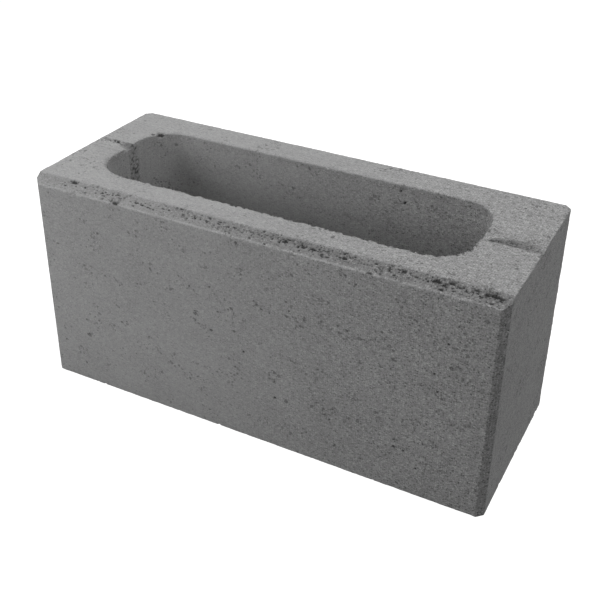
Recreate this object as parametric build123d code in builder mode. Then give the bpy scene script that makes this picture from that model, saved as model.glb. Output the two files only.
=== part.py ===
from build123d import *
import os
from math import atan2, degrees

# A hollow concrete block, dry cast in one piece and standing on its bottom bed.
# +X runs along its length and +Y from its chamfered front face to its back.
# The origin is in the middle of the bottom bed, and lengths are in millimetres.

# Outside of the block
block_length = 400
block_depth = 160
block_height = 190

# Walls round the core, as thick as they are on the top bed
left_web = 33
right_web = 47
front_shell = 35
back_shell = 29

# The core narrows downwards, so that the mould's bar draws out at the top
core_corner_radius = 30
core_draft = 2

# An open chamfer along the front of the top bed, and a small one on each upright corner
front_chamfer_depth = 10
front_chamfer_height = 6.5
corner_chamfer = 5

# The trough that the mould's bar leaves across both webs
trough_width = 17
trough_floor_width = 9
trough_depth = 3
trough_root_radius = 2

# The rounding round the mouth of the core and along the troughs
soft_edge = 1

# How far a cut runs past the face that it opens
cut_overrun = 10

core_length = block_length - left_web - right_web
core_width = block_depth - front_shell - back_shell
core_x = (left_web - right_web) / 2
core_y = (front_shell - back_shell) / 2
core_lean = degrees(atan2(core_draft, block_height))
chamfer_top_y = front_chamfer_depth - block_depth / 2
trough_floor_z = block_height - trough_depth

top_bed = Plane.XY.offset(block_height)
across_webs = Plane(origin=(0, core_y, block_height), x_dir=(0, 1, 0), z_dir=(1, 0, 0))
chamfer_face = Plane(
    origin=(0, chamfer_top_y, block_height),
    x_dir=(1, 0, 0),
    z_dir=(0, -front_chamfer_height, front_chamfer_depth),
)


def is_soft(edge):
    """Tells whether an edge of the core's mouth or of a trough is one that the cast leaves round."""
    middle = edge.bounding_box().center()
    inside_length = abs(middle.X) < block_length / 2 - corner_chamfer
    inside_depth = chamfer_top_y < middle.Y < block_depth / 2 - corner_chamfer
    lowest = edge.bounding_box().min.Z
    in_bed = lowest > block_height - soft_edge / 2
    at_mouth = lowest > trough_floor_z - soft_edge / 2 and edge.bounding_box().size.Y > 0
    return inside_length and inside_depth and (in_bed or at_mouth)


with BuildPart() as concrete_block:
    # The outside, with its upright corners taken off
    with BuildSketch():
        Rectangle(block_length, block_depth)
        chamfer(vertices(), length=corner_chamfer)
    extrude(amount=block_height)

    # The open chamfer runs the whole length, through both front corners
    split(bisect_by=chamfer_face, keep=Keep.BOTTOM)

    # The core goes right through and leans in on all sides
    with BuildSketch(top_bed):
        with Locations((core_x, core_y)):
            RectangleRounded(core_length, core_width, core_corner_radius)
    extrude(amount=-(block_height + cut_overrun), taper=core_lean, mode=Mode.SUBTRACT)

    # One cut makes the troughs in both webs, because the bar crossed them in one line
    with BuildSketch(across_webs) as trough:
        with BuildLine():
            Polyline(
                (-trough_width / 2, cut_overrun),
                (-trough_width / 2, 0),
                (-trough_floor_width / 2, -trough_depth),
                (trough_floor_width / 2, -trough_depth),
                (trough_width / 2, 0),
                (trough_width / 2, cut_overrun),
                close=True,
            )
        make_face()
        fillet(trough.vertices().group_by(Axis.Y)[0], radius=trough_root_radius)
    extrude(amount=block_length / 2 + cut_overrun, both=True, mode=Mode.SUBTRACT)

    # The mouth of the core and the troughs are softened in one go, so that they meet cleanly
    fillet(concrete_block.edges().filter_by(is_soft), radius=soft_edge)

concrete_block.part.label = "concrete_block"

os.makedirs("parts", exist_ok=True)
export_step(concrete_block.part, "parts/concrete_block.step")
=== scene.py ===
import math
import random
import bmesh
import bpy
from mathutils import Matrix, Vector, kdtree, noise


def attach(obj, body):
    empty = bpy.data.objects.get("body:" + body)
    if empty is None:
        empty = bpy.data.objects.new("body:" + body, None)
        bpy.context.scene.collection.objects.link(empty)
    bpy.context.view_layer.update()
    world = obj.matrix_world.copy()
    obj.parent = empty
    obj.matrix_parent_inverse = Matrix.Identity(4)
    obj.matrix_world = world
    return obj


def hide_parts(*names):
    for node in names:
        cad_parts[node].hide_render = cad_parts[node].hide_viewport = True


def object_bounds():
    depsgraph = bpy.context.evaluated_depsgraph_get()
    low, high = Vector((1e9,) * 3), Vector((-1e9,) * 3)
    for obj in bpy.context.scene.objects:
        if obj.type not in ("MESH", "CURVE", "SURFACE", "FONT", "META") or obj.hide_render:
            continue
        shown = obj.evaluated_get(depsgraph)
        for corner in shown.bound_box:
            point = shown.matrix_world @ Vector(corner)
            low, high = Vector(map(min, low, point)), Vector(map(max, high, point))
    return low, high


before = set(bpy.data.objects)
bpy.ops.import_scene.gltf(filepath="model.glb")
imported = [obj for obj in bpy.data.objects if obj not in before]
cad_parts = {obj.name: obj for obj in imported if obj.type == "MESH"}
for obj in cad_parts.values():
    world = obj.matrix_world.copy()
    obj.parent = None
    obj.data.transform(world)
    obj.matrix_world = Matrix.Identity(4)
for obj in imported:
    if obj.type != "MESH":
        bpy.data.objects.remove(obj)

cadLow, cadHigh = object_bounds()
scene = bpy.context.scene
mm = 0.001

# The camera stands in front of the block's right-hand end and looks down on it
cameraSetup = {
    "imageSide": 616,                       # the photo's side, in pixels
    "sensor": 36.0,
    "focalPixels": 984.6,
    "place": (326.9, -620.8, 532.6),        # mm
    "forward": (-0.38788, 0.78155, -0.48860),
    "right": (0.89076, 0.45406, 0.01916),   # the photo leans a little
    "shift": (-0.015, -0.10),               # the photo is a crop, so the lens's axis isn't in its middle
}


def makeCamera(setup):
    data = bpy.data.cameras.new("Camera")
    data.sensor_width = setup["sensor"]
    data.lens = setup["focalPixels"] * setup["sensor"] / setup["imageSide"]
    data.shift_x = setup["shift"][0]
    data.shift_y = setup["shift"][1]
    data.clip_start = 0.01
    data.clip_end = 50.0
    forward = Vector(setup["forward"]).normalized()
    right = Vector(setup["right"])
    right = (right - forward * right.dot(forward)).normalized()
    turn = Matrix((right, right.cross(forward), -forward)).transposed().to_4x4()
    camera = bpy.data.objects.new("Camera", data)
    camera.matrix_world = Matrix.Translation(Vector(setup["place"]) * mm) @ turn
    scene.collection.objects.link(camera)
    scene.camera = camera


makeCamera(cameraSetup)
scene.view_settings.view_transform = "Standard"
print("camera placed")


class Wire:
    # A socket that carries a value, so that shader maths reads as a sum
    def __init__(self, sheet, plug):
        self.sheet = sheet
        self.plug = plug

    def math(self, operation, *values):
        return self.sheet.node("Math", {"operation": operation}, dict(enumerate(values)))

    def __add__(self, other):
        return self.math("ADD", self, other)

    def __radd__(self, other):
        return self.math("ADD", other, self)

    def __sub__(self, other):
        return self.math("SUBTRACT", self, other)

    def __rsub__(self, other):
        return self.math("SUBTRACT", other, self)

    def __mul__(self, other):
        return self.math("MULTIPLY", self, other)

    def __rmul__(self, other):
        return self.math("MULTIPLY", other, self)

    def atLeast(self, other):
        return self.math("MAXIMUM", self, other)

    def ramp(self, start, end):
        # 0 at start and 1 at end, and smooth between them
        steps = {"Value": self, "From Min": start, "From Max": end}
        return self.sheet.node("MapRange", {"interpolation_type": "SMOOTHSTEP"}, steps)


class Sheet:
    # One material's nodes, or the world's
    def __init__(self, owner):
        owner.use_nodes = True
        self.tree = owner.node_tree
        self.tree.nodes.clear()

    def node(self, kind, settings, values, output=0):
        made = self.tree.nodes.new("ShaderNode" + kind)
        for name, setting in settings.items():
            setattr(made, name, setting)
        for name, value in values.items():
            if isinstance(value, Wire):
                self.tree.links.new(value.plug, made.inputs[name])
            else:
                made.inputs[name].default_value = value
        return Wire(self, made.outputs[output]) if made.outputs else made

    def point(self):
        return self.node("TexCoord", {}, {}, "Object")

    def along(self, axis):
        # How far along X, Y or Z a place on the piece is, in millimetres
        return self.node("SeparateXYZ", {}, {"Vector": self.point()}, axis) * (1 / mm)

    def ragged(self, size, reach, seed):
        # The point on the piece, moved about so that spots get ragged outlines
        values = {"Vector": self.spots(self.point(), size, seed), "Scale": 1.0, "Detail": 1.0}
        wander = self.node("TexNoise", {}, values, "Color")
        far = (reach * mm, reach * mm, reach * mm)
        parts = {0: wander, 1: far, 2: self.point()}
        return self.node("VectorMath", {"operation": "MULTIPLY_ADD"}, parts)

    def spots(self, point, size, seed, stretch=(1, 1, 1)):
        # A point counted in spots of that size in millimetres
        each = [1 / (mm * size * s) for s in stretch]
        values = {"Vector": point, "Location": (seed, 2 * seed, -seed), "Scale": each}
        return self.node("Mapping", {}, values)

    def noise(self, size, seed=0.0, detail=2.0, roughness=0.5, stretch=(1, 1, 1)):
        # From about -1 to 1
        point = self.spots(self.point(), size, seed, stretch)
        values = {"Vector": point, "Scale": 1.0, "Detail": detail, "Roughness": roughness}
        return (self.node("TexNoise", {}, values) - 0.5) * 3.2

    def cells(self, point, size, seed=0.0, stretch=(1, 1, 1)):
        # How far the nearest seed is in millimetres, and two random numbers of that seed
        values = {"Vector": self.spots(point, size, seed, stretch), "Scale": 1.0}
        near = self.node("TexVoronoi", {}, values)
        colour = Wire(self, near.plug.node.outputs["Color"])
        first = self.node("SeparateColor", {}, {"Color": colour}, "Red")
        second = Wire(self, first.plug.node.outputs["Green"])
        return near * size, first, second

    def mix(self, factor, start, end):
        return self.node("Mix", {"data_type": "RGBA"}, {0: factor, 6: start, 7: end}, 2)


# Sizes that the part's source gives, in millimetres
blockForm = {
    "length": 400.0,
    "depth": 160.0,
    "height": 190.0,
    "corner": 5.0,
    "chamferDepth": 10.0,
    "chamferHeight": 6.5,
    "coreMiddle": (-7.0, 3.0),
    "coreHalf": (160.0, 48.0),
    "coreRadius": 30.0,
    "coreDraft": 2.0,
    "troughHalf": 8.5,
    "troughFloorHalf": 4.5,
    "troughDepth": 3.0,
}

# What the casting and the handling did to the surface, in millimetres. Grains are layers of noise:
# strength, size and seed
blockRelief = {
    "step": 4.0,                            # the mesh's own step, halved up to three times
    "halved": (0.55, 0.27, 0.15),           # how long an edge has to be for each, as a share of the step
    "thinArea": 0.006,                      # in square millimetres
    "sway": 0.22,                           # how far the faces are from flat
    "swayShare": 0.5,
    "swayGrains": ((0.35, 55.0, 0.0), (0.3, 14.0, 3.0)),
    "edgeWear": 0.26,                       # how much the sharp edges lost
    "edgeReach": 1.7,
    "edgeShare": (0.15, 0.6),               # the least, and the mean
    "edgeGrains": ((0.8, 7.0, 1.0), (0.6, 2.4, 2.0)),
    "mouthWear": 2.4,                       # how deep the bites in the front of the core's mouth are
    "mouthReach": (3.4, 0.4),
    "bites": ((1.0, 9.0, 61.0), (0.6, 3.1, 62.0)),
    "smallBites": ((1.0, 2.3, 63.0),),
    "smallShare": 0.8,
    "biteRamp": (0.0, 0.4),
    "smallRamp": (0.08, 0.3),
    "biteSpan": ((-120.0, 0.0), (100.0, 135.0)),    # along the block, where there are more of them
    "hollow": 0.35,                         # how deep the front chamfer is hollowed
    "openDepth": 0.6,                       # how deep the open texture goes
    "openShare": 0.40,
    "openGrains": ((0.8, 4.2, 11.0), (0.9, 1.8, 13.0)),
    "cornerShare": 0.35,                    # the share of it that the upright corners have
    # how strong the troughs' painted shade is in the pit layer
    "creviceShade": 0.9,
    "pitSeed": 7,
    "pitHeight": (0.62, 0.17),              # the mean share of the way up the chamfer, and the spread
    "pitLimits": (0.12, 1.1),
    "pitRadius": (0.3, 0.75),
    "pitStretch": 2.2,                      # pits in the chamfer are longer along the block
    "pitDepth": 0.8,                        # a share of the radius, as for the chips
    "pitGrains": ((0.5, 1.2, 19.0),),
    "pitEdge": (1.05, 0.6),                 # shares of the radius, as for the chips
    "chipSeed": 41,
    "chipCount": 130,
    "chipRadius": (0.9, 3.0),
    "chipDepth": 0.45,
    "chipGrains": ((0.35, 1.7, 17.0),),
    "chipEdge": (1.0, 0.1),
}

# The pits that show most, in millimetres
chamferPits = (                             # along the block, share of the way up the chamfer, radius
    (-164, 0.83, 1.7), (-119, 0.12, 1.5), (-102, 0.58, 0.9), (-96, 0.52, 0.9), (29, 0.62, 1.3),
    (44, 0.58, 1.0), (52, 0.62, 1.2), (60, 0.45, 0.9), (77, 0.57, 1.3), (99, 0.05, 1.3),
    (122, 0.78, 1.1), (146, 0.72, 1.7), (151, 0.25, 1.1), (157, 0.80, 1.2), (174, 0.80, 1.1),
    (182, 0.67, 1.4), (188, 0.70, 1.5), (192, 0.67, 1.2),
)
frontPits = (                               # along the block, height, radius
    (126, 40, 1.3), (126, 47, 0.8), (134, 39, 0.9), (145, 26, 0.9), (153, 117, 1.1), (156, 102, 0.9),
    (161, 145, 1.0), (36, 133, 0.9), (24, 48, 1.2), (72, 45, 1.0), (-4, 83, 1.0), (-165, 17, 0.9),
)
corePits = (                                # place and radius
    (-160, 42, 189, 3.3), (-165, 38, 190, 2.0), (72, 51, 174, 1.4),
    (68, 51, 184, 1.1), (-183, 11, 189, 1.4),
)

# Small pits gather in the chamfer: where along it, how far to either side and how many
pitGroups = (
    (-166, 10, 12), (-127, 9, 18), (-98, 8, 12), (-58, 16, 30), (-20, 14, 24), (12, 12, 34), (43, 12, 28),
    (58, 6, 20), (84, 12, 22), (118, 10, 26), (146, 10, 22), (162, 8, 14), (182, 11, 22),
)


def smooth(value, start, end):
    # 0 at start and 1 at end, and smooth between them
    t = min(max((value - start) / (end - start), 0.0), 1.0)
    return t * t * (3 - 2 * t)


def band(value, front, back):
    # 1 in a band: each side is a pair, where it starts and where it is full
    return smooth(value, *front) * smooth(value, *back)


def blend(pair, share):
    return pair[0] + (pair[1] - pair[0]) * share


def grain(point, size, seed=0.0):
    return noise.noise(point / size + Vector((seed, seed, seed)))


def grains(point, layers):
    # Layers of noise on top of each other: strength, size and seed
    return sum(strength * grain(point, size, seed) for strength, size, seed in layers)


def coreGap(x, y, z):
    # How far a point is outside the core's wall
    lean = blockForm["coreDraft"] * (1 - z / blockForm["height"])
    radius = blockForm["coreRadius"]
    along = abs(x - blockForm["coreMiddle"][0]) - blockForm["coreHalf"][0] + lean + radius
    across = abs(y - blockForm["coreMiddle"][1]) - blockForm["coreHalf"][1] + lean + radius
    return math.hypot(max(along, 0), max(across, 0)) + min(max(along, across), 0) - radius


def chamferGap(y, z):
    # How far a point is above the front chamfer's plane
    rise = blockForm["chamferHeight"]
    run = blockForm["chamferDepth"]
    high = (z - blockForm["height"]) * run - (y + blockForm["depth"] / 2 - run) * rise
    return high / math.hypot(rise, run)


def shareUp(y):
    # The share of the way up the front chamfer
    return (y + blockForm["depth"] / 2) / blockForm["chamferDepth"]


def onChamfer(y, z):
    return chamferGap(y, z) > -0.3 and z < blockForm["height"] + 0.1 and shareUp(y) < 1.05


def edgeGap(point):
    # How far the nearest outer edge is: a point is on one face, and the second nearest face ends it
    x, y, z = point
    halfLength = blockForm["length"] / 2
    halfDepth = blockForm["depth"] / 2
    corner = halfLength + halfDepth - blockForm["corner"] - abs(x) - abs(y)
    gaps = (
        z,
        blockForm["height"] - z,
        halfLength - abs(x),
        halfDepth - abs(y),
        corner / math.sqrt(2),
        chamferGap(y, z),
        coreGap(x, y, z),
    )
    return sorted(abs(gap) for gap in gaps)[1]


def onCorner(x, y):
    # Whether a point is on one of the small chamfers of the upright corners
    return abs(x) + abs(y) > (blockForm["length"] + blockForm["depth"]) / 2 - blockForm["corner"] - 0.3


def behindMiddle(y):
    # How far a place is behind the middle of the troughs
    return y - blockForm["coreMiddle"][1]


def inTrough(point):
    # Whether a point is on the part's own trough, in either end web
    x, y, z = point
    behind = abs(behindMiddle(y))
    depth = blockForm["height"] - z
    half = blockForm["troughHalf"]
    deepest = blockForm["troughDepth"]
    if behind > half + 1.2 or depth > deepest + 0.2 or coreGap(x, y, z) < -0.2:
        return False
    slope = (half - behind) / (half - blockForm["troughFloorHalf"])
    cut = deepest * min(max(slope, 0.0), 1.0)
    return abs(depth - cut) < 0.8


# The right trough is a crevice behind a lip, with a floor that rises to the back. Depths and places are
# in millimetres, fronts and backs are behind the middle, and each is where it starts and where it is full
rightTrough = {
    "nearCore": (170.0, 161.0),             # along the block
    "creviceDepth": (2.2, 3.4),             # away from the core, and by it
    "creviceFront": (-7.8, -6.6),
    "creviceBack": ((5.0, -3.4), (-3.0, -5.4)),     # each away from the core, and by it
    "floorDepth": (1.2, 0.7),
    "floorFront": (-7.8, -4.0),
    "floorBack": (13.0, 2.0),
    "mouth": (163.0, 154.0),                # along the block, where the floor falls to the core
    "mouthDepth": 3.4,
    "mouthFront": (-7.8, -6.2),
    "mouthBack": (13.0, 5.0),
    "deepest": 4.8,
    "wander": ((0.8, 8.0, 51.0), (0.5, 2.6, 52.0)),
}


def rightDrop(x, behind):
    form = rightTrough
    near = smooth(x, *form["nearCore"])
    back = [blend(pair, near) for pair in form["creviceBack"]]
    crevice = blend(form["creviceDepth"], near) * band(behind, form["creviceFront"], back)
    floor = blend(form["floorDepth"], near) * band(behind, form["floorFront"], form["floorBack"])
    mouth = smooth(x, *form["mouth"]) * band(behind, form["mouthFront"], form["mouthBack"])
    return min(max(crevice, floor) + form["mouthDepth"] * mouth, form["deepest"])


# Loose concrete filled the left trough up to a narrow, broken crack at its back
leftTrough = {
    "end": (-200.5, -194.0),                # along the block: it is full to the brim at the end face
    "floorDepth": 0.3,
    "floorFront": (-8.8, -4.0),
    "floorBack": (8.4, 7.0),
    "crackDepth": (0.5, 1.8),               # the least, and what the noise adds
    "crackFront": (4.6, 6.4),
    "crackBack": (8.4, 6.8),
    "crackBreaks": ((1.0, 3.2, 55.0),),
    "breakShare": 0.3,
    "mouth": (-178.0, -167.0),
    "mouthDepth": 2.2,
    "mouthFront": (-6.0, 2.0),
    "mouthBack": (9.0, 7.0),
    "wander": ((0.7, 7.0, 53.0), (0.6, 2.4, 54.0)),
}


def leftDrop(x, behind):
    form = leftTrough
    least, more = form["crackDepth"]
    broken = form["breakShare"] + grains(Vector((x, 0, 0)), form["crackBreaks"])
    crack = (least + more * max(0.0, broken)) * band(behind, form["crackFront"], form["crackBack"])
    floor = form["floorDepth"] * band(behind, form["floorFront"], form["floorBack"])
    mouth = smooth(x, *form["mouth"]) * band(behind, form["mouthFront"], form["mouthBack"])
    return (floor + crack) * smooth(x, *form["end"]) + form["mouthDepth"] * mouth


def troughDrop(x, behind):
    # How far a trough is below the bed
    place = Vector((x, 0, 0))
    if x > 0:
        return rightDrop(x, behind + grains(place, rightTrough["wander"]))
    return leftDrop(x, behind + grains(place, leftTrough["wander"]))


# Painted shade, placed as in the troughs: behind the right trough's lip, in the left trough's crack and
# patch, on the streak below it, and in specks for small holes
troughShade = {
    "speckle": ((2.6, 2.1, 29.0),),
    "clean": 0.05,                          # what the noise has to pass before a speck starts
    "below": 7.0,                           # how far below the bed the troughs get painted shade
    "right": 145.0,                         # along the block
    "rightFront": (-8.5, -6.8),
    "rightBack": ((7.5, 0.0), (1.0, -3.5)),
    "rightEnd": (199.0, 184.0),
    "rightEndShare": (0.35, 1.0),
    "rightShare": (0.45, 0.85),             # how much painted shade, between the specks and in them
    "leftReach": 3.0,                       # how far into the core the left ones go
    "onWall": 0.5,
    "streakMiddle": 8.0,                    # the speckled streak of painted shade on the wall below the left trough
    "streakSide": (7.5, 4.5),
    "streakFoot": (142.0, 165.0),
    "streakShare": (0.12, 1.0),
    "crackMiddle": 6.5,
    "crackSide": (4.2, 1.4),
    "crackEnd": (-200.0, -190.0),
    "patchEnd": (-180.0, -171.0),           # the patch of painted shade where the left trough meets the core
    "patchFront": (-1.0, 4.0),
    "patchBack": (10.0, 8.0),
    "patchShare": (0.45, 1.0),
}


def speckle(point):
    # Specks of painted shade for small holes, with clean concrete between them
    return min(max(grains(point, troughShade["speckle"]) - troughShade["clean"], 0.0), 1.0)


def crevice(point):
    # How much painted shade a point gets: in both troughs and on the wall below the left one
    x, y, z = point
    form = troughShade
    behind = behindMiddle(y)
    inReach = z > blockForm["height"] - form["below"]
    if inReach and x > form["right"]:
        near = smooth(x, *rightTrough["nearCore"])
        back = [blend(pair, near) for pair in form["rightBack"]]
        line = band(behind, form["rightFront"], back)
        line *= blend(form["rightEndShare"], smooth(x, *form["rightEnd"]))
        return line * blend(form["rightShare"], speckle(point))
    if x > blockForm["coreMiddle"][0] - blockForm["coreHalf"][0] + form["leftReach"]:
        return 0.0
    if abs(coreGap(x, y, z)) < form["onWall"] and z < blockForm["height"] - form["onWall"]:
        streak = smooth(abs(behind - form["streakMiddle"]), *form["streakSide"])
        return streak * smooth(z, *form["streakFoot"]) * blend(form["streakShare"], speckle(point))
    if inReach:
        crack = smooth(abs(behind - form["crackMiddle"]), *form["crackSide"])
        crack *= smooth(x, *form["crackEnd"]) * speckle(point)
        patch = smooth(x, *form["patchEnd"]) * band(behind, form["patchFront"], form["patchBack"])
        return max(crack, patch * blend(form["patchShare"], speckle(point)))
    return 0.0


# Where the texture is open and rough, as shares of the most open. Places on the chamfer are shares of
# the way up it, and others are in millimetres
# The shader darkens these places with painted shade; the upright corners and the troughs' shaded places
# are listed for it
openTexture = {
    "patches": ((0.75, 13.0, 5.0),),
    "patchShare": 0.62,
    "lineMiddle": 0.76,                     # a line along the chamfer where it is most open, and darkest with painted shade
    "lineSide": (0.28, 0.04),
    "foot": (0.05, 0.17),
    "top": (1.10, 0.85),
    "topWander": 0.3,
    "most": (-120.0, 60.0),                 # along the block
    "mostShare": (0.55, 1.0),
    "chamfer": 0.50,
    "chamferPatches": 0.20,
    "chamferLine": 0.12,
    "mouthHeight": 6.0,
    "mouthSide": (4.0, 0.8),
    "mouthFront": 0.32,
    "mouthBack": 0.17,
    "trough": (0.15, 0.37),
    # the upright corner chamfers: a little relief, and painted shade
    "corner": 0.42,
    # where the troughs have painted shade, which darkens them further
    "hole": 0.6,
}


def opennessAndShade(point):
    x, y, z = point
    form = openTexture
    patchy = min(max(form["patchShare"] + grains(point, form["patches"]), 0.0), 1.0)
    found = 0.0
    up = shareUp(y)
    if z > blockForm["height"] - blockForm["chamferHeight"] - 0.1 and up < 1.6:
        line = smooth(abs(up - form["lineMiddle"]), *form["lineSide"])
        start, full = form["top"]
        body = band(up, form["foot"], (start + form["topWander"] * patchy, full))
        body *= blend(form["mostShare"], smooth(x, *form["most"]))
        found = body * (form["chamfer"] + form["chamferPatches"] * patchy + form["chamferLine"] * line)
    if z > blockForm["height"] - form["mouthHeight"]:
        side = form["mouthFront"] if y < 0 else form["mouthBack"]
        found = max(found, side * patchy * smooth(abs(coreGap(x, y, z)), *form["mouthSide"]))
    if inTrough(point):
        found = max(found, blend(form["trough"], patchy))
    if onCorner(x, y):
        found = max(found, form["corner"])
    return max(found, form["hole"] * crevice(point))


def cadCopy(name):
    # The CAD node's mesh in millimetres, with its loose triangles merged into whole faces
    shape = bmesh.new()
    shape.from_mesh(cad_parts[name].data)
    bmesh.ops.scale(shape, vec=(1 / mm, 1 / mm, 1 / mm), verts=shape.verts)
    bmesh.ops.remove_doubles(shape, verts=shape.verts, dist=0.001)
    bmesh.ops.dissolve_limit(shape, angle_limit=math.radians(0.5), verts=shape.verts, edges=shape.edges)
    return shape


def closeSlits(shape):
    # Merged points can leave a face folded onto another, or a thin slit. This mends about half of them,
    # and a few small ones stay at the core's rim
    thin = [face for face in shape.faces if face.calc_area() < blockRelief["thinArea"]]
    folded = [face for face in thin if any(len(edge.link_faces) > 2 for edge in face.edges)]
    bmesh.ops.delete(shape, geom=folded, context="FACES_ONLY")
    bmesh.ops.delete(shape, geom=[edge for edge in shape.edges if edge.is_wire], context="EDGES")
    bmesh.ops.holes_fill(shape, edges=[edge for edge in shape.edges if edge.is_boundary], sides=6)


def cutEvenly(shape, step):
    low = Vector(cadLow) / mm
    high = Vector(cadHigh) / mm
    for axis in range(3):
        normal = Vector((0, 0, 0))
        normal[axis] = 1
        count = round((high[axis] - low[axis]) / step)
        for k in range(1, count):
            everything = shape.verts[:] + shape.edges[:] + shape.faces[:]
            place = low.lerp(high, k / count)
            bmesh.ops.bisect_plane(shape, geom=everything, dist=0.01, plane_co=place, plane_no=normal)
    bmesh.ops.remove_doubles(shape, verts=shape.verts, dist=step / 14)
    closeSlits(shape)


def halve(shape, longest, wanted):
    # Halves the mesh's step where it is wanted
    chosen = []
    for edge in shape.edges:
        middle = (edge.verts[0].co + edge.verts[1].co) / 2
        if edge.calc_length() > longest and wanted(middle):
            chosen.append(edge)
    bmesh.ops.subdivide_edges(shape, edges=chosen, cuts=1, use_grid_fill=True)
    bmesh.ops.triangulate(shape, faces=[face for face in shape.faces if len(face.verts) > 4])


def listedPits():
    # The pits that show most, as places and radii
    places = [(Vector((x, -blockForm["depth"] / 2, z)), radius) for x, z, radius in frontPits]
    places += [(chamferPlace(x, up), radius) for x, up, radius in chamferPits]
    places += [(Vector((x, y, z)), radius) for x, y, z, radius in corePits]
    return places


def chamferPlace(x, up):
    run = up * blockForm["chamferDepth"]
    drop = max(1 - up, 0) * blockForm["chamferHeight"]
    return Vector((x, run - blockForm["depth"] / 2, blockForm["height"] - drop))


def nearPit(point, margin):
    return any((point - place).length < radius + margin for place, radius in listedPits())


# Where the mesh is halved once, twice and three times: millimetres from each form
meshReach = {
    "bed": 0.3,
    "mouth": (3.0, 3.0, 2.0),
    "mouthDepth": 5.0,
    "edge": (4.2, 0.5),
    "pit": (3.0, 1.5, 0.5),
    "troughFront": -10.0,                   # this and the backs are behind the middle of the troughs
    "troughBack": 14.0,
    "fineBack": 9.0,
    "troughDepth": 5.0,
    "streakEnd": -150.0,                    # along the block
    "streakSide": 8.0,
    "streakFoot": 145.0,
}


def nearMouth(point, reach):
    x, y, z = point
    return z > blockForm["height"] - meshReach["mouthDepth"] and abs(coreGap(x, y, z)) < reach


def inStreak(point):
    x, y, z = point
    onWall = x < meshReach["streakEnd"] and abs(coreGap(x, y, z)) < troughShade["onWall"]
    beside = abs(behindMiddle(y) - troughShade["streakMiddle"])
    return onWall and beside < meshReach["streakSide"] and z > meshReach["streakFoot"]


def inTroughReach(point):
    x, y, z = point
    offMiddle = abs(x - blockForm["coreMiddle"][0])
    onWeb = coreGap(x, y, z) > -0.2 and offMiddle > blockForm["coreHalf"][0] - 1.0
    inDepth = meshReach["troughFront"] < behindMiddle(y) < meshReach["troughBack"]
    return onWeb and inDepth and z > blockForm["height"] - meshReach["troughDepth"]


def needsHalf(point):
    y, z = point.yz
    if z > blockForm["height"] - meshReach["bed"] or chamferGap(y, z) > -meshReach["bed"]:
        return True
    if nearMouth(point, meshReach["mouth"][0]) or edgeGap(point) < meshReach["edge"][0]:
        return True
    return inTroughReach(point) or inStreak(point) or nearPit(point, meshReach["pit"][0])


def needsQuarter(point):
    y, z = point.yz
    if onChamfer(y, z) or nearMouth(point, meshReach["mouth"][1]) or edgeGap(point) < meshReach["edge"][1]:
        return True
    return inTroughReach(point) or inStreak(point) or nearPit(point, meshReach["pit"][1])


def needsEighth(point):
    y, z = point.yz
    if onChamfer(y, z) or (nearMouth(point, meshReach["mouth"][2]) and y < 0):
        return True
    inFront = behindMiddle(y) < meshReach["fineBack"]
    return (inTroughReach(point) and inFront) or nearPit(point, meshReach["pit"][2])


def chipPlaces():
    # Random places along the edges: more of them on the front of the core's mouth
    draw = random.Random(blockRelief["chipSeed"])
    endX = blockForm["length"] / 2
    backY = blockForm["depth"] / 2
    top = blockForm["height"]
    inX = endX - blockForm["corner"]
    inY = backY - blockForm["corner"]
    lipZ = top - blockForm["chamferHeight"]
    brinkY = blockForm["chamferDepth"] - backY
    middleX, middleY = blockForm["coreMiddle"]
    mouthX = blockForm["coreHalf"][0] - blockForm["coreRadius"] / 2
    mouthY = blockForm["coreHalf"][1]
    lines = [                               # how many of the chips, and the edge's two ends
        (14, (middleX - mouthX, middleY - mouthY, top), (middleX + mouthX, middleY - mouthY, top)),
        (3, (middleX - mouthX, middleY + mouthY, top), (middleX + mouthX, middleY + mouthY, top)),
        (4, (-endX, brinkY, top), (endX, brinkY, top)),
        (3, (-inX, -backY, lipZ), (inX, -backY, lipZ)),
        (0.7, (-inX, -backY, 0), (inX, -backY, 0)),
        (1, (-inX, backY, 0), (inX, backY, 0)),
    ]
    for x in (-endX, endX):
        lines.append((0.4, (x, brinkY, top), (x, inY, top)))
        lines.append((0.8, (x, -inY, 0), (x, inY, 0)))
        nearX = math.copysign(inX, x)
        for side in (-1, 1):
            lines.append((0.7, (x, side * inY, 0), (x, side * inY, lipZ)))
            lines.append((0.7, (nearX, side * backY, 0), (nearX, side * backY, lipZ)))
    small, large = blockRelief["chipRadius"]
    places = []
    for _ in range(blockRelief["chipCount"]):
        _, start, end = draw.choices(lines, weights=[line[0] for line in lines])[0]
        place = Vector(start).lerp(Vector(end), draw.random())
        places.append((place, small + (large - small) * draw.random() ** 3))
    return places


def scatteredPits():
    # Small pits, in groups along the front chamfer
    draw = random.Random(blockRelief["pitSeed"])
    lowest, highest = blockRelief["pitLimits"]
    small, large = blockRelief["pitRadius"]
    places = []
    for middle, reach, count in pitGroups:
        for _ in range(count):
            up = min(max(draw.gauss(*blockRelief["pitHeight"]), lowest), highest)
            place = chamferPlace(middle + draw.gauss(0, 1) * reach, up)
            places.append((place, small + (large - small) * draw.random() ** 2))
    return places


def shapeTroughs(shape):
    # Gives both troughs the floors that the loose concrete left in them
    for vert in shape.verts:
        x, y, z = vert.co
        if not inTroughReach(vert.co):
            continue
        level = blockForm["height"] - troughDrop(x, behindMiddle(y))
        if inTrough(vert.co) or z > level:
            vert.co.z = level
    bmesh.ops.remove_doubles(shape, verts=shape.verts, dist=0.03)
    closeSlits(shape)


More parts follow.
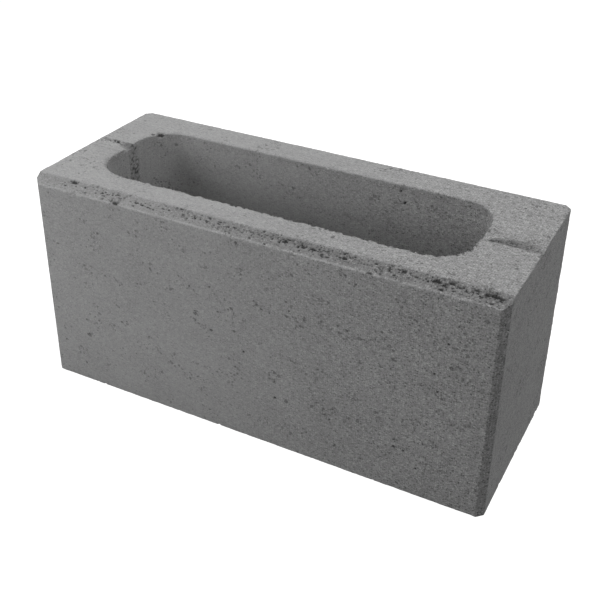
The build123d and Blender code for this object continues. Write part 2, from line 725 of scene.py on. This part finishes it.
def wornDepth(point):
    # What the surface lost at a point, apart from chips and pits
    x, y, z = point
    form = blockRelief
    depth = form["sway"] * (form["swayShare"] + grains(point, form["swayGrains"]))
    worn = smooth(edgeGap(point), form["edgeReach"], 0.0)
    if worn:
        least, mean = form["edgeShare"]
        depth += worn * form["edgeWear"] * max(least, mean + grains(point, form["edgeGrains"]))
    if nearMouth(point, form["mouthReach"][0]) and y < 20:
        bite = smooth(grains(point, form["bites"]), *form["biteRamp"])
        small = smooth(grains(point, form["smallBites"]), *form["smallRamp"])
        bite = max(bite, form["smallShare"] * small)
        bite *= 0.5 + 0.5 * sum(smooth(x, *span) for span in form["biteSpan"])
        depth += smooth(edgeGap(point), *form["mouthReach"]) * form["mouthWear"] * bite
    rough = opennessAndShade(point)
    if rough:
        texture = form["openShare"] + grains(point, form["openGrains"])
        share = form["cornerShare"] if onCorner(x, y) else 1.0
        depth += rough * share * form["openDepth"] * max(0.0, texture)
    if onChamfer(y, z):
        up = min(max(shareUp(y), 0.0), 1.0) ** 1.4    # deepest above the middle
        depth += form["hollow"] * 4 * up * (1 - up)
    return max(depth, 0.0)


def weather(shape):
    # Moves every point inwards by what the casting and the handling took off
    form = blockRelief
    shapeTroughs(shape)
    shape.normal_update()
    openLayer = shape.verts.layers.float.new("opennessAndShade")
    # The pit layer holds painted shade: in the pits, and in the troughs' crevice and holes
    pitShadeLayer = shape.verts.layers.float.new("pit")
    shape.verts.ensure_lookup_table()
    tree = kdtree.KDTree(len(shape.verts))
    depths = []
    for vert in shape.verts:
        tree.insert(vert.co, vert.index)
        vert[openLayer] = opennessAndShade(vert.co)
        # The pit layer takes the troughs' painted shade
        vert[pitShadeLayer] = form["creviceShade"] * crevice(vert.co)
        depths.append(wornDepth(vert.co))
    tree.balance()
    for place, radius in chipPlaces():
        for point, index, gap in tree.find_range(place, radius):
            ragged = gap / radius * (1 + grains(point, form["chipGrains"]))
            depths[index] += form["chipDepth"] * radius * smooth(ragged, *form["chipEdge"])
    for place, radius in listedPits() + scatteredPits():
        stretch = form["pitStretch"] if onChamfer(place.y, place.z) else 1.0
        for point, index, gap in tree.find_range(place, radius * stretch + 0.6):
            offset = point - place
            offset.x /= stretch
            ragged = offset.length / radius * (1 + grains(point, form["pitGrains"]))
            amount = smooth(ragged, *form["pitEdge"])
            depths[index] += form["pitDepth"] * radius * amount
            shape.verts[index][pitShadeLayer] = max(shape.verts[index][pitShadeLayer], amount)
    for vert, depth in zip(shape.verts, depths):
        vert.co -= vert.normal * depth
        for axis in range(3):
            vert.co[axis] = min(max(vert.co[axis], cadLow[axis] / mm), cadHigh[axis] / mm)


def makeBlock():
    shape = cadCopy("concrete_block")
    step = blockRelief["step"]
    cutEvenly(shape, step)
    for share, wanted in zip(blockRelief["halved"], (needsHalf, needsQuarter, needsEighth)):
        halve(shape, step * share, wanted)
    print("block's mesh cut:", sum(len(face.verts) - 2 for face in shape.faces), "triangles")
    weather(shape)
    bmesh.ops.scale(shape, vec=(mm, mm, mm), verts=shape.verts)
    mesh = bpy.data.meshes.new("concrete_block_cast")
    shape.to_mesh(mesh)
    shape.free()
    mesh.shade_smooth()
    mesh.set_sharp_from_angle(angle=math.radians(28))
    block = bpy.data.objects.new("concrete_block_cast", mesh)
    scene.collection.objects.link(block)
    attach(block, "root")
    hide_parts("concrete_block")
    return block


block = makeBlock()
print("block weathered")

# The concrete: tones are linear, sizes are in millimetres
concreteLook = {
    "tone": 0.32,
    "brightest": 0.60,
    "sandSize": 1.35,
    "bedMore": 0.25,                        # how much more the sand shows on the top bed and in the core
    "sandStrength": 0.25,
    "sandMore": 1.7,                        # how much more the sand shows towards the right-hand end
    "mottleStrength": 0.07,
    "streakStrength": 0.05,                 # upright streaks on the two ends
    "openTextureShade": 0.54,                       # how much painted shade darkens the open texture, for the shadows in its pores and on the chamfer and corners
    "rightEndShade": 0.13,                      # how much painted shade darkens the right-hand end
    "rightSpan": (-60.0, 190.0),            # along the block
    # how dark the pit layer's painted shade makes the concrete
    "pitShade": 0.86,
    "darkest": 0.012,
    "roughness": 0.9,
    "fine": (0.9, 1.0, 2.0, 0.6),           # noise: size, seed, detail and roughness
    "coarse": (3.8, 5.0, 2.0, 0.55),
    "mottle": (24.0, 9.0, 3.0, 0.55),
    "broad": (95.0, 13.0, 1.0, 0.5),
    "streak": (2.4, 41.0, 2.0, 0.5, (1, 1, 9)),         # and how far it is squeezed each way
    "gather": (19.0, 17.0, 3.0, 0.6, (1.4, 1.4, 0.8)),  # where the pores gather
    "gatherRamp": (0.02, 0.34),
    "poreEdge": (-0.1, 0.35),
    "poreLeast": 0.35,                      # the palest pore, as a share of the darkest
    "openPores": 0.25,                      # how much wider pores are in open texture
    "rightPores": 0.15,                     # how much wider they are at the right-hand end
}

# Pores: spacing, widest radius, how dark they are, which is painted shade as the pores are only bumps,
# how deep they are, and how much they keep to the places where they gather
concretePores = (
    (2.3, 1.50, 0.40, 0.25, 0.88),
    (3.6, 1.90, 0.46, 0.40, 0.92),
    (12.0, 2.40, 0.75, 0.70, 0.70),
)


def makeConcrete(look):
    material = bpy.data.materials.new("concrete")
    sheet = Sheet(material)
    openShare = sheet.node("Attribute", {"attribute_name": "opennessAndShade"}, {}, "Fac")
    pit = sheet.node("Attribute", {"attribute_name": "pit"}, {}, "Fac")
    along = sheet.along("X")
    rightward = along.ramp(*look["rightSpan"])
    top = blockForm["height"]
    onBed = sheet.along("Z").ramp(top - 8.0, top - 5.0)
    middleX, middleY = blockForm["coreMiddle"]
    halfX, halfY = blockForm["coreHalf"]
    inLength = (along - middleX).math("ABSOLUTE").ramp(halfX + 4.0, halfX + 1.0)
    inCore = (sheet.along("Y") - middleY).math("ABSOLUTE").ramp(halfY + 3.0, halfY + 1.0) * inLength
    rougher = 1 + onBed.atLeast(inCore) * look["bedMore"]

    # Sand in cement paste
    sand = sheet.cells(sheet.point(), look["sandSize"], 3.0, (1.25, 1.0, 0.9))
    sandTone = (sand[1] - 0.5) * sand[0].ramp(0.66 * look["sandSize"], 0.3 * look["sandSize"])
    fine = sheet.noise(*look["fine"])
    coarse = sheet.noise(*look["coarse"])
    mottle = sheet.noise(*look["mottle"])
    broad = sheet.noise(*look["broad"])
    endX = blockForm["length"] / 2
    onEnd = along.math("ABSOLUTE").ramp(endX - 3.0, endX - 1.0)
    streak = sheet.noise(*look["streak"]) * onEnd

    # Pores gather in level bands, where the mix was laid drier
    gather = sheet.noise(*look["gather"]).ramp(*look["gatherRamp"])
    ragged = sheet.ragged(2.2, 1.9, 31.0)
    # Painted shade in the pits and the troughs, from the pit layer
    shade = 1 - pit * look["pitShade"]
    hollow = 0.0
    palest = look["poreLeast"]
    for number, (spacing, widest, dark, deep, keep) in enumerate(concretePores):
        gap, width, kind = sheet.cells(ragged, spacing, 21.0 + 7 * number)
        room = (1 - keep) + keep * gather + look["openPores"] * openShare + look["rightPores"] * rightward
        radius = width * width * room * widest
        pore = (radius - gap).ramp(*look["poreEdge"])
        # Each pore gets painted shade for the shadow in it
        shade = shade * (1 - pore * (palest + (1 - palest) * kind) * dark)
        hollow = hollow + pore * deep
    grit = (1.4 * sandTone + 0.6 * fine + 0.2 * coarse) * rougher
    grit = grit * (1 + look["sandMore"] * rightward + openShare)
    tone = 1 + grit * look["sandStrength"] + (mottle + broad) * look["mottleStrength"]
    tone = (tone + streak * look["streakStrength"]) * shade
    # Painted shade: on the open texture, and towards the right-hand end
    tone = tone * (1 - openShare * look["openTextureShade"]) * (1 - rightward * look["rightEndShade"])
    tone = (tone * look["tone"]).atLeast(look["darkest"])
    bright = look["brightest"]
    colour = sheet.mix(tone * (1 / bright), (0, 0, 0, 1), (bright, bright, bright, 1))

    # Heights in millimetres
    height = 0.04 * fine + 0.06 * coarse * (1 + 1.5 * openShare) + 0.06 * sandTone - hollow
    bump = sheet.node("Bump", {}, {"Strength": 1.0, "Distance": mm, "Height": height})
    values = {
        "Base Color": colour,
        "Roughness": look["roughness"],
        "Normal": bump,
    }
    surface = sheet.node("BsdfPrincipled", {}, values)
    sheet.node("OutputMaterial", {}, {"Surface": surface})
    return material


block.data.materials.append(makeConcrete(concreteLook))
print("concrete made")

# Soft studio light: places and sizes are in metres, and levels in watts
studio = {
    "lamps": (
        ("Overhead", (0.52, 0.10, 1.50), (0.0, 0.0, 0.15), 0.8, 11.6),
        ("Behind", (0.10, 1.00, 0.90), (0.0, 0.0, 0.15), 0.8, 2.2),
        ("BackLeft", (-0.75, 0.30, 0.55), (-0.1, 0.0, 0.19), 0.5, 1.6),
        ("High", (0.20, -0.90, 1.50), (0.0, 0.0, 0.15), 0.8, 1.0),
        ("FrontLeft", (-0.45, -1.15, 0.70), (0.0, 0.0, 0.12), 0.8, 1.8),
        ("FrontRight", (0.22, -1.10, 0.70), (0.0, 0.0, 0.12), 0.8, 1.9),
        ("Left", (-0.66, -0.48, 0.40), (-0.1, -0.08, 0.08), 0.5, 2.2),
    ),
    "ambient": 0.08,
    "floorTone": 0.30,
    "floorSide": 12.0,
    "floorGlow": 0.95,
    "shadowDepth": 0.30,                    # how much of the floor's white follows the light
}


def makeLamp(name, place, target, side, level):
    data = bpy.data.lights.new(name, "AREA")
    data.shape = "DISK"
    data.size = side
    data.energy = level
    lamp = bpy.data.objects.new(name, data)
    lamp.location = place
    aim = Vector(target) - Vector(place)
    lamp.rotation_euler = aim.to_track_quat("-Z", "Y").to_euler()
    scene.collection.objects.link(lamp)


def seenDirectly(sheet):
    # 1 for the camera and for what is mirrored or seen through, where the background is white
    camera = sheet.node("LightPath", {}, {}, "Is Camera Ray")
    glossy = Wire(sheet, camera.plug.node.outputs["Is Glossy Ray"])
    through = Wire(sheet, camera.plug.node.outputs["Is Transmission Ray"])
    return camera.atLeast(glossy).atLeast(through)


def makeFloor(setup):
    shape = bmesh.new()
    bmesh.ops.create_grid(shape, x_segments=1, y_segments=1, size=setup["floorSide"] / 2)
    mesh = bpy.data.meshes.new("Floor")
    shape.to_mesh(mesh)
    shape.free()
    floor = bpy.data.objects.new("Floor", mesh)
    scene.collection.objects.link(floor)
    material = bpy.data.materials.new("paleFloor")
    sheet = Sheet(material)
    tone = setup["floorTone"]
    plain = sheet.node("BsdfDiffuse", {}, {"Color": (tone, tone, tone, 1)})
    depth = setup["shadowDepth"]
    lit = sheet.node("BsdfDiffuse", {}, {"Color": (depth, depth, depth, 1)})
    white = sheet.node("Emission", {}, {"Color": (1, 1, 1, 1), "Strength": setup["floorGlow"]})
    shown = sheet.node("AddShader", {}, {0: lit, 1: white})
    surface = sheet.node("MixShader", {}, {0: seenDirectly(sheet), 1: plain, 2: shown})
    sheet.node("OutputMaterial", {}, {"Surface": surface})
    mesh.materials.append(material)


def makeWorld(setup):
    world = bpy.data.worlds.new("Studio")
    scene.world = world
    sheet = Sheet(world)
    soft = sheet.node("Background", {}, {"Color": (1, 1, 1, 1), "Strength": setup["ambient"]})
    white = sheet.node("Background", {}, {"Color": (1, 1, 1, 1), "Strength": 1.0})
    surface = sheet.node("MixShader", {}, {0: seenDirectly(sheet), 1: soft, 2: white})
    sheet.node("OutputWorld", {}, {"Surface": surface})


for lamp in studio["lamps"]:
    makeLamp(*lamp)
makeFloor(studio)
makeWorld(studio)
print("studio lit")
